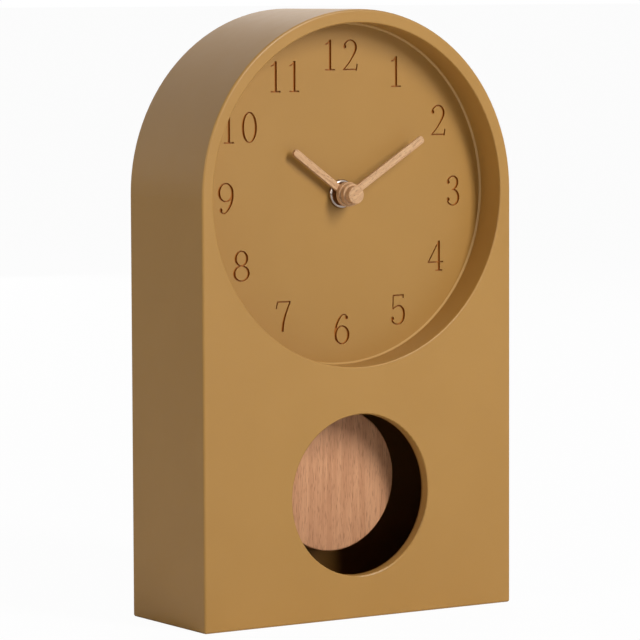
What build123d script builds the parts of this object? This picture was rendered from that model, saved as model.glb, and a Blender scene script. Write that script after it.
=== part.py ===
from build123d import *
import os
from math import acos, cos, hypot, pi, radians, sin, tan

# A free-standing arched pendulum clock: painted case, engraved dial, wooden hands and bob, quartz movement.
# Millimetres. +X is the viewer's right, the dial faces -Y, +Z is up, the origin is the middle of the base.
# Depths run from the front face of the case towards its back.

# Case
case_width = 181.0
case_height = 300.0
case_depth = 68.5
axis_drop = 0.5             # hands' axis below the centre of the arch
rim_width = 6.1             # face of the arch beside the dial recess
front_thickness = 5.6
side_wall = 3.0
floor_thickness = 4.0
edge_round = 1.2
opening_round = 0.7
recess_wall = 2.4           # ring that lines the recess behind the front panel
recess_foot = 0.8           # sloping foot of the ring where it meets the dial
foot_taper = -45.0
window_sill = 21.1          # front panel below the pendulum window
window_head = 23.5          # front panel between the window and the dial recess

# Rear panel
panel_thickness = 2.5
panel_inset = 2.2           # rear face of the panel below the case's rear edge, deeper than a screw head
panel_gap = 0.25
rebate_width = 1.4
access_width = 92.0
access_height = 92.0
access_drop = 4.0           # access opening's centre below the hands' axis
access_round = 8.0
post_radius = 3.8
post_sink = 0.9             # how far a screw post runs into the side wall
upper_post_drop = 88.0      # upper screw posts below the hands' axis

# Dial
dial_depth = 17.5           # dial face behind the case's front face
dial_thickness = 3.0
dial_overlap = 1.9          # dial edge hidden behind the recess ring
dial_boss_radius = 4.0
dial_boss_offset = 9.5      # screw centres outside the recess ring
dial_screw_angles = (-135.0, -90.0, -45.0)
ear_width = 9.0
hours = 12
numeral_height = 15.2
numeral_ring = 67.4         # radius on which the numbers are centred
numeral_stem = 1.4
numeral_hair = 0.7
numeral_ball = 0.95
numeral_depth = 1.1
digit_gap = 4.4
numeral_shifts = {          # sideways and upwards from the number's place on the ring
    1: (-0.8, 1.3), 2: (0.2, 1.5), 3: (0.2, -0.5), 4: (-1.5, 0.7), 5: (0.4, -0.6), 6: (0.5, 0.4),
    7: (-0.2, -0.8), 8: (0.5, 0.3), 9: (0.8, -0.2), 10: (0.1, 0.2), 11: (1.2, -0.2), 12: (0.5, 1.0),
}

# Screws, self-tapping, pan head
screw_radius = 1.45
screw_head_radius = 2.8
screw_head = 1.8
screw_head_round = 0.7
screw_length = 9.5
small_screw_radius = 0.95
small_screw_head_radius = 1.9
small_screw_head = 1.2
small_screw_head_round = 0.5
small_screw_length = 6.0
pilot_gap = 0.05
clearance_gap = 0.3
slot_width = 0.7
slot_depth = 0.7
point_taper = 35.0
point_length = 0.8

# Hands
minute_hand_angle = 58.3    # clockwise from twelve
hour_mark_angle = 300.0     # the hour that the hour hand has passed
hour_hand_lead = 1.1        # hour hand pushed on a little ahead of the minute hand
minute_length = 50.7
minute_width = 3.9
minute_boss_radius = 5.4    # boss that carries the bar
minute_boss_length = 2.6
minute_cap_radius = 4.4     # narrower cap in front of the boss
minute_cap_length = 3.4
hour_length = 37.2
hour_width = 3.7
hour_boss_radius = 4.8      # boss behind the cap, as thick as the bar
hour_cap_radius = 6.1
hour_cap_length = 2.5
hub_gap = 0.4               # air between the two hubs
hub_clearance = 1.2         # air between the hour hub and the end of the bushing
hand_thickness = 1.5
hand_round = 0.35
tip_round = 1.5
bush_wall = 1.0
bush_cover = 0.9            # wood left over the end of the minute bush
hour_bush_length = 3.0

# Movement
washer_thickness = 1.0
washer_radius = 13.0
housing_width = 56.0
housing_rise = 28.0         # top of the movement above the hands' axis
housing_wall = 1.5
housing_thickness = 17.0
housing_round = 2.0
housing_edge_round = 0.75
bushing_radius = 4.0
bushing_chamfer = 0.4
bushing_rise = 2.7          # bushing end in front of the dial face
nut_radius = 7.2
nut_thickness = 1.7
nut_round = 1.1
dial_washer_thickness = 0.45
dial_washer_radius = 6.8
running_gap = 0.05
fit_gap = 0.03
minute_arbor_radius = 1.25
arbor_pivot_radius = 1.0
pipe_radius = 2.5
bearing_length = 2.5

# Gears
pressure_angle = 25.0
tooth_addendum = 0.8
tooth_dedendum = 1.05
tooth_backlash = 0.06
flank_steps = 3
motion_module = 0.5
cannon_teeth = 12
intermediate_teeth = 36
pinion_teeth = 10
hour_teeth = 40
setting_teeth = 12
train_module = 0.3
centre_teeth = 60
motor_teeth = 10
wheel_thickness = 1.0
layer_gap = 0.4             # air between one layer of wheels and the next
pinion_overhang = 0.2       # pinion teeth past each face of the wheel they drive
post_pin_radius = 1.0
intermediate_direction = 60.0
setting_direction = 0.0
motor_direction = 180.0

# Setting knob
setting_arbor_radius = 1.2
setting_pivot_radius = 0.8
setting_pivot_length = 0.9
knob_radius = 6.0
knob_thickness = 5.5
knob_stand_off = 0.6
knob_grooves = 24
knob_groove_radius = 0.45

# Motor, circuit and battery
motor_height = 22.0
motor_bearing = 6.5         # length of the pinion's shaft inside the motor
motor_below_axis = 7.5
motor_shaft_radius = 0.6
motor_round = 1.2
board_width = 20.0
board_height = 11.5
board_thickness = 1.0
board_round = 0.7
board_post_height = 3.5
board_post_radius = 1.4
crystal_radius = 1.1
crystal_length = 6.2
crystal_round = 0.37
chip_radius = 3.2
chip_height = 1.3
chip_round = 1.0
board_part_offset = 5.0     # crystal and chip from the middle of the board
battery_radius = 7.2
battery_length = 50.5
battery_round = 0.7
nub_radius = 2.7
nub_length = 1.2
bay_gap = 0.4               # air round the battery, the motor and the board
bay_roof = 1.0
contact_thickness = 0.5
contact_width = 10.0
dimple_height = 0.5
dimple_radius = 1.9
spring_base_radius = 4.5
spring_tip_radius = 2.5

# Pendulum
bob_gap = 4.0               # bob drawn in from the edge of the window
bob_thickness = 8.0
pendulum_offset = 6.1       # swinging plane behind the front wall of the movement
bob_rise = 5.3              # bob's centre above the centre of the window
bob_round = 0.8
rod_radius = 1.2
rod_in_bob = 22.0
rod_in_hanger = 7.0
apron_width = 40.0
apron_height = 34.0
apron_depth = 13.0          # cheeks of the pendulum bay behind the housing's front wall
pivot_drop = 7.0            # pivot below the movement housing
pivot_radius = 1.0
pivot_boss_radius = 3.2
pivot_boss_gap = 0.3
hanger_hub_radius = 3.4
hanger_hub_length = 6.0
hanger_arm_width = 5.0
hanger_arm_thickness = 3.2
hanger_socket_radius = 2.8
hanger_socket_length = 9.0
hanger_tail = 17.0          # hanger below the magnet's centre
coil_rise = 7.0             # coil and magnet above the lower edge of the pendulum bay
magnet_radius = 3.4
magnet_thickness = 2.4
magnet_holder_wall = 1.2
coil_gap = 0.8              # air between the coil and the magnet
coil_core_radius = 2.4
coil_flange_radius = 6.6
coil_wire_radius = 6.0
flange_thickness = 0.6
cover_thickness = 1.5
cover_boss_radius = 2.4
cover_boss_inset = 5.0

# Places worked out from the sizes above
half_width = case_width / 2
arch_height = case_height - half_width
axis_height = arch_height - axis_drop
recess_radius = half_width - rim_width
ring_radius = recess_radius + recess_wall
window_radius = (axis_height - recess_radius - window_head - window_sill) / 2
window_height = window_sill + window_radius
dial_back = dial_depth + dial_thickness
panel_front = case_depth - panel_inset - panel_thickness
panel_back = case_depth - panel_inset
post_x = half_width - side_wall - post_radius + post_sink
lower_post_height = floor_thickness + post_radius - post_sink
upper_post_height = axis_height - upper_post_drop
boss_orbit = ring_radius + dial_boss_offset
housing_front = dial_back + washer_thickness
housing_inside = housing_front + housing_wall
housing_back = housing_front + housing_thickness
housing_back_inside = housing_back - housing_wall
housing_split = (housing_front + housing_back) / 2
inside_half = housing_width / 2 - housing_wall
housing_top = axis_height + housing_rise

hour_layer = housing_inside + layer_gap
motion_layer = hour_layer + wheel_thickness + layer_gap + pinion_overhang
centre_layer = motion_layer + wheel_thickness + 2 * pinion_overhang + layer_gap
motion_distance = motion_module * (cannon_teeth + intermediate_teeth) / 2
hour_module = 2 * motion_distance / (pinion_teeth + hour_teeth)
setting_distance = motion_module * (intermediate_teeth + setting_teeth) / 2
train_distance = train_module * (centre_teeth + motor_teeth) / 2
motor_front = centre_layer + wheel_thickness + pinion_overhang + layer_gap

hour_tip = hour_module * (hour_teeth / 2 + tooth_addendum)
centre_tip = train_module * (centre_teeth / 2 + tooth_addendum)
bay_height = 2 * (battery_radius + bay_gap)
bay_top = axis_height - max(hour_tip, centre_tip) - layer_gap - bay_roof
housing_bottom = bay_top - bay_height - housing_wall
housing_height = housing_top - housing_bottom
housing_middle = (0, (housing_top + housing_bottom) / 2)

hour_hand_angle = hour_mark_angle + minute_hand_angle / hours + hour_hand_lead
hour_hub_back = dial_depth - bushing_rise - hub_clearance
hour_hub_length = hand_thickness + hour_cap_length
hour_hub_front = hour_hub_back - hour_hub_length
minute_hub_back = hour_hub_front - hub_gap
minute_hub_depth = minute_hub_back - minute_boss_length - minute_cap_length

bob_radius = window_radius - bob_gap
bob_height = window_height + bob_rise
bob_middle = housing_inside + pendulum_offset
bob_back = bob_middle + bob_thickness / 2
pivot_height = housing_bottom - pivot_drop
apron_bottom = housing_bottom - apron_height
apron_back = housing_inside + apron_depth
magnet_height = apron_bottom + coil_rise
hanger_bottom = magnet_height - hanger_tail
magnet_front = bob_middle - magnet_thickness
coil_back = magnet_front - coil_gap
hanger_front = bob_middle - hanger_hub_length / 2
hanger_back = bob_middle + hanger_hub_length / 2


def facing(depth):
    """A drawing plane parallel to the dial at this depth, seen from the front: local x is X, local y is Z."""
    return Plane(origin=(0, depth - case_depth / 2, 0), x_dir=(1, 0, 0), z_dir=(0, -1, 0))


def polar_point(centre, radius, angle):
    """A point at this distance and angle from a centre, in a plane that faces the front."""
    return (centre[0] + radius * cos(radians(angle)), centre[1] + radius * sin(radians(angle)))


def arch_outline(inset, floor):
    """The case's outline drawn in by an inset, standing on a floor height."""
    half = half_width - inset
    with BuildSketch() as outline:
        with BuildLine():
            Polyline((-half, arch_height), (-half, floor), (half, floor), (half, arch_height))
            ThreePointArc((half, arch_height), (0, arch_height + half), (-half, arch_height))
        make_face()
    return outline.sketch


def gear_outline(teeth, module, phase):
    """A spur gear with involute flanks, with one tooth pointing along the phase angle."""
    pressure = radians(pressure_angle)
    pitch_radius = teeth * module / 2
    base_radius = pitch_radius * cos(pressure)
    tip_radius = pitch_radius + tooth_addendum * module
    root_radius = pitch_radius - tooth_dedendum * module
    half_tooth = (pi * module / 2 - tooth_backlash) / (2 * pitch_radius)
    start_radius = max(base_radius, root_radius)
    flank = []
    for step in range(flank_steps + 1):
        radius = start_radius + (tip_radius - start_radius) * step / flank_steps
        roll = acos(min(1.0, base_radius / radius))
        flank.append((radius, half_tooth + tan(pressure) - pressure - tan(roll) + roll))
    if root_radius < start_radius:
        flank.insert(0, (root_radius, flank[0][1]))
    sides = [(radius, -angle) for radius, angle in flank] + flank[::-1]
    points = []
    for tooth in range(teeth):
        middle = radians(phase) + 2 * pi * tooth / teeth
        points += [(radius * cos(middle + angle), radius * sin(middle + angle)) for radius, angle in sides]
    with BuildSketch() as outline:
        with BuildLine():
            Polyline(*points, close=True)
        make_face()
    return outline.sketch


def meshing_phase(phase, teeth, mate_teeth, direction):
    """The phase of a mate that lies in this direction from a gear and is in mesh with it."""
    return direction + 180 + 180 / mate_teeth + (direction - phase) * teeth / mate_teeth


# Figures are drawn on a grid 100 units high, thick and thin like a book face.
grid = numeral_height / 100


def pen_stroke(path, pressures):
    """A curved stroke through points of the grid, from hairline at pressure 0 to a full stem at 1."""
    with BuildLine() as middle:
        Spline(*[(x * grid, y * grid) for x, y in path])
    line = middle.edges()[0]
    left, right = [], []
    for (x, y), pressure in zip(path, pressures):
        along = line % line.param_at_point(Vector(x * grid, y * grid))
        half = (numeral_hair + (numeral_stem - numeral_hair) * pressure) / 2
        left.append((x * grid - along.Y * half, y * grid + along.X * half))
        right.append((x * grid + along.Y * half, y * grid - along.X * half))
    with BuildSketch() as stroke:
        with BuildLine():
            Spline(*left)
            Line(left[-1], right[-1])
            Spline(*right[::-1])
            Line(right[0], left[0])
        make_face()
    return stroke.sketch


def bar(x0, y0, x1, y1, width):
    """A straight stroke between two points of the grid."""
    run, rise = (x1 - x0) * grid, (y1 - y0) * grid
    length = hypot(run, rise)
    side_x, side_y = -rise / length * width / 2, run / length * width / 2
    x0, y0, x1, y1 = x0 * grid, y0 * grid, x1 * grid, y1 * grid
    with BuildSketch() as stroke:
        with BuildLine():
            Polyline(
                (x0 + side_x, y0 + side_y),
                (x1 + side_x, y1 + side_y),
                (x1 - side_x, y1 - side_y),
                (x0 - side_x, y0 - side_y),
                close=True,
            )
        make_face()
    return stroke.sketch


def ball(x, y):
    """The round blob that ends a curved stroke."""
    with BuildSketch() as blob:
        with Locations((x * grid, y * grid)):
            Circle(numeral_ball)
    return blob.sketch


def bowl(x, y, half_wide, half_high):
    """A closed oval stroke, thick at its sides and thin at its top and bottom."""
    with BuildSketch() as ring:
        with Locations((x * grid, y * grid)):
            Ellipse(half_wide * grid, half_high * grid)
            Ellipse(half_wide * grid - numeral_stem, half_high * grid - numeral_hair, mode=Mode.SUBTRACT)
    return ring.sketch


six_strokes = [
    bowl(32, 31, 29.5, 31),
    pen_stroke([(7, 31), (9, 58), (21, 83), (38, 97.5), (51, 91)], [1, 0.9, 0.5, 0, 0]),
    ball(50, 87),
]
figures = {
    "0": (58, [bowl(29, 50, 29, 50)]),
    "1": (42, [
        bar(23, 0, 23, 100, numeral_stem),
        bar(4, 2.4, 42, 2.4, numeral_hair),
        pen_stroke([(4, 85), (13, 88), (21, 97)], [0, 0.1, 0.3]),
    ]),
    "2": (59, [
        pen_stroke(
            [(7, 79), (15, 92), (29, 97.6), (45, 91), (52, 75), (43, 50), (25, 24), (4, 2.4)],
            [0.2, 0.2, 0, 0.6, 1, 0.5, 0.1, 0],
        ),
        ball(9, 77),
        bar(2, 2.4, 55, 2.4, numeral_hair),
        bar(53.5, -2, 57, 20, numeral_hair),
    ]),
    "3": (53, [
        pen_stroke(
            [(6, 82), (13, 93), (26, 97.6), (41, 90), (44, 75), (37, 60), (22, 53.5)],
            [0.2, 0.2, 0, 0.7, 1, 0.6, 0],
        ),
        pen_stroke(
            [(22, 53.5), (41, 47), (48.5, 28), (41, 9), (26, 2.4), (11, 8), (5, 20)],
            [0, 0.6, 1, 0.7, 0, 0.2, 0.2],
        ),
        ball(8, 79),
        ball(7.5, 22),
    ]),
    "4": (64, [
        bar(46, 0, 46, 100, numeral_stem),
        bar(45, 97, 4, 31, numeral_hair),
        bar(1, 30, 63, 30, numeral_hair),
        bar(32, 2.4, 60, 2.4, numeral_hair),
    ]),
    "5": (58, [
        bar(9, 97.6, 51, 97.6, numeral_hair),
        bar(51, 100, 49.5, 88, numeral_hair),
        bar(10.5, 100, 9, 52, numeral_hair),
        pen_stroke(
            [(9, 52), (19, 60), (32, 63), (48, 53), (52.5, 33), (45, 11), (28, 2.4), (12, 7), (5, 20)],
            [0, 0, 0.2, 0.8, 1, 0.8, 0, 0.3, 0.2],
        ),
        ball(7.5, 22),
    ]),
    "6": (64, six_strokes),
    "7": (59, [
        bar(8, 97.6, 58, 97.6, numeral_hair),
        bar(9, 100, 3.5, 76, numeral_hair),
        pen_stroke([(56.5, 97), (42, 66), (31, 34), (27, 1)], [0.1, 0.4, 0.8, 1]),
    ]),
    "8": (66, [bowl(33, 74.5, 26, 25.5), bowl(33, 26.5, 31.5, 26.5)]),
    "9": (64, [stroke.rotate(Axis.Z, 180).moved(Location((64 * grid, 100 * grid))) for stroke in six_strokes]),
}


def number_width(text):
    """How wide a number comes out, with the gaps between its figures."""
    return sum(figures[figure][0] * grid for figure in text) + digit_gap * (len(text) - 1)


def pan_head_screws(places, seat_depth, radius, head_radius, head, head_round, length):
    """Slotted self-tapping screws, driven towards the front, with their heads on a seat."""
    with BuildPart() as screws:
        with BuildSketch(facing(seat_depth + head)):
            with Locations(*places):
                Circle(head_radius)
        extrude(amount=head)
        fillet(screws.faces().filter_by(Axis.Y).group_by(Axis.Y)[-1].edges(), head_round)
        with BuildSketch(facing(seat_depth)):
            with Locations(*places):
                Circle(radius)
        extrude(amount=length - point_length)
        with BuildSketch(facing(seat_depth - length + point_length)):
            with Locations(*places):
                Circle(radius)
        extrude(amount=point_length, taper=point_taper)
        with BuildSketch(facing(seat_depth + head)):
            with Locations(*places):
                Rectangle(2 * head_radius, slot_width)
        extrude(amount=slot_depth, mode=Mode.SUBTRACT)
    return screws.part


os.makedirs("parts", exist_ok=True)

axis_place = (0, axis_height)
pivot_place = (0, pivot_height)
dial_boss_places = [polar_point(axis_place, boss_orbit, angle) for angle in dial_screw_angles]
panel_post_places = [(side * post_x, height) for side in (-1, 1) for height in (lower_post_height, upper_post_height)]

# Case shell: one arched moulding, open at the back, with the recess ring, the window and the screw posts
with BuildPart() as case_shell:
    with BuildSketch(facing(case_depth)):
        add(arch_outline(0, 0))
    extrude(amount=case_depth)
    outline_edges = case_shell.faces().sort_by(Axis.Y)[0].edges() + case_shell.faces().sort_by(Axis.Y)[-1].edges()
    corner_edges = case_shell.edges().filter_by(Axis.Y).group_by(Axis.Z)[0]
    fillet(outline_edges + corner_edges, edge_round)
    with BuildSketch(facing(case_depth)):
        add(arch_outline(side_wall, floor_thickness))
    extrude(amount=case_depth - front_thickness, mode=Mode.SUBTRACT)
    with BuildSketch(facing(case_depth)):
        add(arch_outline(side_wall - rebate_width, floor_thickness - rebate_width))
    extrude(amount=panel_inset + panel_thickness, mode=Mode.SUBTRACT)
    with BuildSketch(facing(dial_depth)):
        with Locations(axis_place):
            Circle(ring_radius)
        with Locations(*dial_boss_places):
            Circle(dial_boss_radius)
    extrude(amount=dial_depth - front_thickness)
    with BuildSketch(facing(panel_front)):
        with Locations(*panel_post_places):
            Circle(post_radius)
    extrude(amount=panel_front - front_thickness)
    with BuildSketch(facing(dial_depth - recess_foot)):
        with Locations(axis_place):
            Circle(recess_radius)
    extrude(amount=dial_depth - recess_foot, mode=Mode.SUBTRACT)
    with BuildSketch(facing(dial_depth)):
        with Locations(axis_place):
            Circle(recess_radius - recess_foot)
    extrude(amount=recess_foot, taper=foot_taper, mode=Mode.SUBTRACT)
    with BuildSketch(facing(front_thickness)):
        with Locations((0, window_height)):
            Circle(window_radius)
    extrude(amount=front_thickness, mode=Mode.SUBTRACT)
    front_openings = case_shell.faces().sort_by(Axis.Y)[0].inner_wires().edges()
    fillet(front_openings, opening_round)
    with BuildSketch(facing(dial_depth)):
        with Locations(*dial_boss_places):
            Circle(screw_radius + pilot_gap)
    extrude(amount=dial_depth - front_thickness, mode=Mode.SUBTRACT)
    with BuildSketch(facing(panel_front)):
        with Locations(*panel_post_places):
            Circle(screw_radius + pilot_gap)
    extrude(amount=screw_length, mode=Mode.SUBTRACT)
case_shell.part.label = "case_shell"
export_step(case_shell.part, "parts/case_shell.step")

# Dial plate: a disc with three screw ears, seated on the back of the recess ring, numbers cut into its face
with BuildPart() as dial_plate:
    with BuildSketch(facing(dial_back)):
        with Locations(axis_place):
            Circle(recess_radius + dial_overlap)
            for angle in dial_screw_angles:
                with PolarLocations(ring_radius, 1, start_angle=angle):
                    Rectangle(2 * dial_boss_offset, ear_width)
        with Locations(*dial_boss_places):
            Circle(ear_width / 2)
            Circle(screw_radius + clearance_gap, mode=Mode.SUBTRACT)
        with Locations(axis_place):
            Circle(bushing_radius + clearance_gap, mode=Mode.SUBTRACT)
    extrude(amount=dial_thickness)
    for hour in range(1, hours + 1):
        text = str(hour)
        middle_x, middle_y = polar_point(axis_place, numeral_ring, 90 - hour * 360 / hours)
        shift_x, shift_y = numeral_shifts[hour]
        pen_x = middle_x + shift_x - number_width(text) / 2
        for figure in text:
            width, strokes = figures[figure]
            with BuildSketch(facing(dial_depth + numeral_depth)) as engraving:
                with Locations((pen_x, middle_y + shift_y - numeral_height / 2)):
                    for stroke in strokes:
                        add(stroke)
            extrude(amount=numeral_depth, mode=Mode.SUBTRACT)
            pen_x += width * grid + digit_gap
dial_plate.part.label = "dial_plate"
export_step(dial_plate.part, "parts/dial_plate.step")

dial_screws = pan_head_screws(
    dial_boss_places, dial_back, screw_radius, screw_head_radius, screw_head, screw_head_round, screw_length
)
dial_screws.label = "dial_screws"
export_step(dial_screws, "parts/dial_screws.step")

# Rear panel: lies in the case's rebate, with an opening that gives access to the battery and the setting knob
with BuildPart() as rear_panel:
    with BuildSketch(facing(panel_back)):
        panel_drawn_in = side_wall - rebate_width + panel_gap
        add(arch_outline(panel_drawn_in, floor_thickness - rebate_width + panel_gap))
        with Locations((0, axis_height - access_drop)):
            RectangleRounded(access_width, access_height, access_round, mode=Mode.SUBTRACT)
        with Locations(*panel_post_places):
            Circle(screw_radius + clearance_gap, mode=Mode.SUBTRACT)
    extrude(amount=panel_thickness)
rear_panel.part.label = "rear_panel"
export_step(rear_panel.part, "parts/rear_panel.step")

rear_screws = pan_head_screws(
    panel_post_places, panel_back, screw_radius, screw_head_radius, screw_head, screw_head_round, screw_length
)
rear_screws.label = "rear_screws"
export_step(rear_screws, "parts/rear_screws.step")

# Movement housing, front half: plate, walls, battery bay roof, and the pendulum bay that hangs below
intermediate_place = polar_point(axis_place, motion_distance, intermediate_direction)
setting_place = polar_point(intermediate_place, setting_distance, setting_direction)
motor_place = polar_point(axis_place, train_distance, motor_direction)
apron_middle = (0, housing_bottom - apron_height / 2)
cover_boss_places = [
    (side * (apron_width / 2 - cover_boss_inset), apron_bottom + cover_boss_inset) for side in (-1, 1)
]
bay_roof_middle = (0, bay_top + bay_roof / 2)

with BuildPart() as movement_front:
    with BuildSketch(facing(housing_inside)):
        with Locations(housing_middle):
            RectangleRounded(housing_width, housing_height, housing_round)
        with Locations((0, apron_bottom)):
            Rectangle(apron_width, apron_height + housing_wall, align=(Align.CENTER, Align.MIN))
    extrude(amount=housing_wall)
    with BuildSketch(facing(housing_split)):
        with Locations(housing_middle):
            RectangleRounded(housing_width, housing_height, housing_round)
            Rectangle(2 * inside_half, housing_height - 2 * housing_wall, mode=Mode.SUBTRACT)
        with Locations(bay_roof_middle):
            Rectangle(2 * inside_half, bay_roof)
    extrude(amount=housing_split - housing_inside)
    with BuildSketch(facing(apron_back)):
        with Locations(apron_middle):
            Rectangle(apron_width, apron_height)
            Rectangle(apron_width - 2 * housing_wall, apron_height, mode=Mode.SUBTRACT)
        with Locations(*cover_boss_places):
            Circle(cover_boss_radius)
    extrude(amount=apron_back - housing_inside)
    with BuildSketch(facing(hanger_front - pivot_boss_gap)):
        with Locations(pivot_place):
            Circle(pivot_boss_radius)
    extrude(amount=hanger_front - pivot_boss_gap - housing_inside)
    with BuildSketch(facing(motion_layer + wheel_thickness + pinion_overhang)):
        with Locations(intermediate_place):
            Circle(post_pin_radius)
    extrude(amount=motion_layer + wheel_thickness + pinion_overhang - housing_inside)
    with BuildSketch(facing(housing_back)):
        with Locations(axis_place):
            Circle(bushing_radius + fit_gap)
        with Locations(pivot_place):
            Circle(pivot_radius + fit_gap)
    extrude(amount=housing_thickness, mode=Mode.SUBTRACT)
    with BuildSketch(facing(housing_inside)):
        with Locations(setting_place):
            Circle(setting_pivot_radius + running_gap)
    extrude(amount=setting_pivot_length, mode=Mode.SUBTRACT)
    with BuildSketch(facing(apron_back)):
        with Locations(*cover_boss_places):
            Circle(small_screw_radius + pilot_gap)
    extrude(amount=small_screw_length, mode=Mode.SUBTRACT)
movement_front.part.label = "movement_front"
export_step(movement_front.part, "parts/movement_front.step")

# Movement housing, rear half: back wall, walls that close on the front half, open battery bay, board posts
board_middle = (inside_half - board_width / 2 - bay_gap, bay_top + bay_roof + bay_gap + board_height / 2)
board_back = housing_back_inside - board_post_height
board_post_places = [
    (board_middle[0] + side * (board_width / 2 - board_post_radius), board_middle[1]) for side in (-1, 1)
]

with BuildPart() as movement_rear:
    with BuildSketch(facing(housing_back)):
        with Locations(housing_middle):
            RectangleRounded(housing_width, housing_height, housing_round)
    extrude(amount=housing_back - housing_split)
    with BuildSketch(facing(housing_back_inside)):
        with Locations(housing_middle):
            Rectangle(2 * inside_half, housing_height - 2 * housing_wall)
    extrude(amount=housing_back_inside - housing_split, mode=Mode.SUBTRACT)
    with BuildSketch(facing(housing_back_inside)):
        with Locations(bay_roof_middle):
            Rectangle(2 * inside_half, bay_roof)
    extrude(amount=housing_back_inside - housing_split)
    with BuildSketch(facing(housing_back_inside)):
        with Locations(axis_place):
            Circle(arbor_pivot_radius + housing_wall)
    extrude(amount=bearing_length)
    with BuildSketch(facing(housing_back_inside)):
        with Locations(*board_post_places):
            Circle(board_post_radius)
    extrude(amount=board_post_height)
    with BuildSketch(facing(housing_back)):
        with Locations((0, housing_bottom + housing_wall)):
            Rectangle(2 * inside_half, bay_height, align=(Align.CENTER, Align.MIN))
        with Locations(setting_place):
            Circle(setting_arbor_radius + running_gap)
    extrude(amount=housing_wall, mode=Mode.SUBTRACT)
    with BuildSketch(facing(housing_back_inside)):
        with Locations(axis_place):
            Circle(arbor_pivot_radius + running_gap)
    extrude(amount=bearing_length, mode=Mode.SUBTRACT)
    fillet(movement_rear.faces().sort_by(Axis.Y)[-1].outer_wire().edges(), housing_edge_round)
movement_rear.part.label = "movement_rear"
export_step(movement_rear.part, "parts/movement_rear.step")

# Rubber washer between dial and movement
with BuildPart() as rubber_washer:
    with BuildSketch(facing(housing_front)):
        with Locations(axis_place):
            Circle(washer_radius)
            Circle(bushing_radius + clearance_gap, mode=Mode.SUBTRACT)
    extrude(amount=washer_thickness)
rubber_washer.part.label = "rubber_washer"
export_step(rubber_washer.part, "parts/rubber_washer.step")

# Threaded bushing: carries the hour pipe and takes the nut in front of the dial
with BuildPart() as threaded_bushing:
    with BuildSketch(facing(housing_inside)):
        with Locations(axis_place):
            Circle(bushing_radius)
            Circle(pipe_radius + running_gap, mode=Mode.SUBTRACT)
    extrude(amount=housing_inside - dial_depth + bushing_rise)
    chamfer(threaded_bushing.faces().sort_by(Axis.Y)[0].outer_wire().edges(), bushing_chamfer)
threaded_bushing.part.label = "threaded_bushing"
export_step(threaded_bushing.part, "parts/threaded_bushing.step")

with BuildPart() as dial_washer:
    with BuildSketch(facing(dial_depth)):
        with Locations(axis_place):
            Circle(dial_washer_radius)
            Circle(bushing_radius + clearance_gap, mode=Mode.SUBTRACT)
    extrude(amount=dial_washer_thickness)
dial_washer.part.label = "dial_washer"
export_step(dial_washer.part, "parts/dial_washer.step")

# Ring nut: round and bright, its front edge turned over in a soft curve
with BuildPart() as ring_nut:
    with BuildSketch(facing(dial_depth - dial_washer_thickness)):
        with Locations(axis_place):
            Circle(nut_radius)
    extrude(amount=nut_thickness)
    fillet(ring_nut.faces().sort_by(Axis.Y)[0].edges(), nut_round)
    with BuildSketch(facing(dial_depth - dial_washer_thickness)):
        with Locations(axis_place):
            Circle(bushing_radius + fit_gap)
    extrude(amount=nut_thickness, mode=Mode.SUBTRACT)
ring_nut.part.label = "ring_nut"
export_step(ring_nut.part, "parts/ring_nut.step")

# Motion work: the minute arbor's cannon pinion drives the intermediate wheel, whose pinion drives the hour wheel
cannon_phase = 0.0
intermediate_phase = meshing_phase(cannon_phase, cannon_teeth, intermediate_teeth, intermediate_direction)
pinion_phase = 0.0
hour_phase = meshing_phase(pinion_phase, pinion_teeth, hour_teeth, intermediate_direction + 180)
setting_phase = meshing_phase(intermediate_phase, intermediate_teeth, setting_teeth, setting_direction)
centre_phase = 0.0
motor_phase = meshing_phase(centre_phase, centre_teeth, motor_teeth, motor_direction)
cannon_gear = gear_outline(cannon_teeth, motion_module, cannon_phase)
intermediate_gear = gear_outline(intermediate_teeth, motion_module, intermediate_phase)
pinion_gear = gear_outline(pinion_teeth, hour_module, pinion_phase)
hour_gear = gear_outline(hour_teeth, hour_module, hour_phase)
setting_gear = gear_outline(setting_teeth, motion_module, setting_phase)
centre_gear = gear_outline(centre_teeth, train_module, centre_phase)
motor_gear = gear_outline(motor_teeth, train_module, motor_phase)
pinion_length = wheel_thickness + 2 * pinion_overhang
arbor_shoulder = housing_back_inside - bearing_length - layer_gap

with BuildPart() as minute_arbor:
    with BuildSketch(facing(arbor_shoulder)):
        with Locations(axis_place):
            Circle(minute_arbor_radius)
    extrude(amount=arbor_shoulder - minute_hub_depth - bush_cover)
    with BuildSketch(facing(housing_back_inside)):
        with Locations(axis_place):
            Circle(arbor_pivot_radius)
    extrude(amount=bearing_length + layer_gap)
    with BuildSketch(facing(motion_layer + wheel_thickness + pinion_overhang)):
        with Locations(axis_place):
            add(cannon_gear)
    extrude(amount=pinion_length)
minute_arbor.part.label = "minute_arbor"
export_step(minute_arbor.part, "parts/minute_arbor.step")

with BuildPart() as centre_wheel:
    with BuildSketch(facing(centre_layer + wheel_thickness)):
        with Locations(axis_place):
            add(centre_gear)
            Circle(minute_arbor_radius + fit_gap, mode=Mode.SUBTRACT)
    extrude(amount=wheel_thickness)
centre_wheel.part.label = "centre_wheel"
export_step(centre_wheel.part, "parts/centre_wheel.step")

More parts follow.
